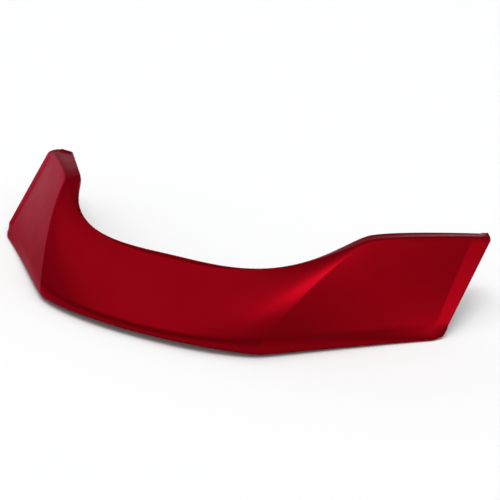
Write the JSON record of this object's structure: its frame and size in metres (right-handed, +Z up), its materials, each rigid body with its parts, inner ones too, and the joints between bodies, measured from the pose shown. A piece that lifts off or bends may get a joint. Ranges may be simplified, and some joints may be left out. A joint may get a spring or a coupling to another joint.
{
  "type": "racing rear wing",
  "caption": "Painted wrap-around rear wing for a car's tail: a sloping centre section with a rolled rear lip and swept end blades, bonded to an inner panel with studs.",
  "frame": {"origin": "centre stud, where its gasket meets the car, in the symmetry plane", "axes": "+X to the right seen from behind and along the width, +Y towards the front of the car, +Z up; the studs point along (0, 0.7071, -0.7071), forward and down"},
  "size_m": [1.202, 0.5716, 0.179],
  "materials": {
    "red_paint": "semi-gloss paint over moulded plastic",
    "black_plastic": "fine grained, moulded black plastic",
    "rib_plastic": "plain moulded plastic",
    "potting_block": "cast resin block",
    "foam_rod": "cream closed-cell foam",
    "stud_steel": "zinc-plated steel",
    "gasket_foam": "black closed-cell foam rubber",
    "tape_foam": "grey acrylic foam tape",
    "seal_rubber": "soft black rubber",
    "pin_nylon": "natural nylon",
    "plug_rubber": "black rubber"
  },
  "bodies": {
    "root": {"outer_skin": "red_paint", "inner_panel_centre": "black_plastic", "inner_panel_left": "black_plastic", "inner_panel_right": "black_plastic", "rib_centre_left": "rib_plastic", "rib_centre_right": "rib_plastic", "rib_middle_left": "rib_plastic", "rib_middle_right": "rib_plastic", "rib_ridge_left": "rib_plastic", "rib_ridge_right": "rib_plastic", "rib_blade_left": "rib_plastic", "rib_blade_right": "rib_plastic", "rib_tip_left": "rib_plastic", "rib_tip_right": "rib_plastic", "lip_rod_centre": "foam_rod", "lip_rod_left": "foam_rod", "lip_rod_right": "foam_rod", "hardpoint_centre": "potting_block", "hardpoint_inner_left": "potting_block", "hardpoint_inner_right": "potting_block", "hardpoint_outer_left": "potting_block", "hardpoint_outer_right": "potting_block", "stud_centre": "stud_steel", "stud_inner_left": "stud_steel", "stud_inner_right": "stud_steel", "stud_outer_left": "stud_steel", "stud_outer_right": "stud_steel", "pad_centre": "black_plastic", "pad_inner_left": "black_plastic", "pad_inner_right": "black_plastic", "pad_outer_left": "black_plastic", "pad_outer_right": "black_plastic", "stud_gaskets": "gasket_foam", "locating_pin_left": "pin_nylon", "locating_pin_right": "pin_nylon", "tape_centre": "tape_foam", "tape_left": "tape_foam", "tape_right": "tape_foam", "front_edge_seal": "seal_rubber", "drain_plug_left": "plug_rubber", "drain_plug_right": "plug_rubber"}
  },
  "joints": []
}
